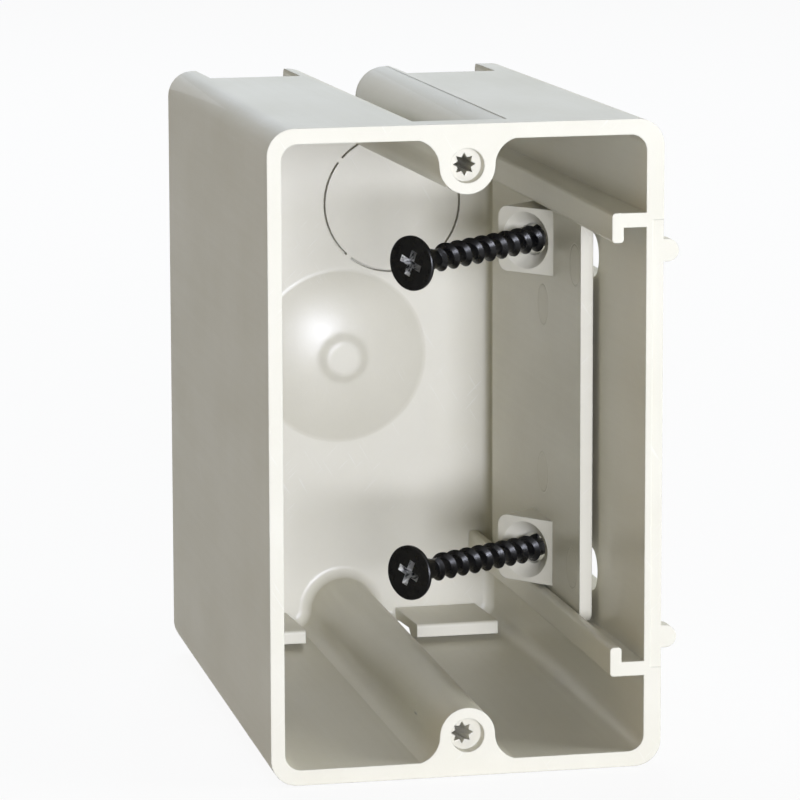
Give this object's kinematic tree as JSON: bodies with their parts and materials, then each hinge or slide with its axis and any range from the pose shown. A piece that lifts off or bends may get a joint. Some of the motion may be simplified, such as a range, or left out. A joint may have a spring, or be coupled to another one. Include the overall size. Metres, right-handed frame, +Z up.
{
  "type": "adjustable switch box",
  "caption": "Deep plastic box for a wall switch, open at the front, that slides on a bracket screwed to a stud through slanted blocks.",
  "frame": {"origin": "centre of the front rim, midway between the device screw holes", "axes": "+X towards the stud, +Y into the wall, from the open front to the back wall, +Z up"},
  "size_m": [0.0605, 0.0906, 0.0954],
  "materials": {
    "box_plastic": "moulded, satin, slightly translucent off-white",
    "bracket_plastic": "moulded, satin off-white",
    "screw_black": "black phosphate under a thin film of oil"
  },
  "bodies": {
    "box": {"box_shell": "box_plastic"},
    "slider": {"slider_bracket": "bracket_plastic"},
    "upper_fixing": {"screw_upper": "screw_black"},
    "lower_fixing": {"screw_lower": "screw_black"}
  },
  "joints": [
    {"name": "slider_travel", "type": "slide", "parent": "box", "child": "slider", "axis": [0, -1, 0], "range_m": [-0.005, 0.0215]},
    {"name": "screw_upper_drive", "type": "slide", "parent": "slider", "child": "upper_fixing", "axis": [0.7933, 0.6087, 0.0157], "range_m": [0, 0.0268]},
    {"name": "screw_lower_drive", "type": "slide", "parent": "slider", "child": "lower_fixing", "axis": [0.7929, 0.6084, -0.0331], "range_m": [0, 0.0275]}
  ]
}
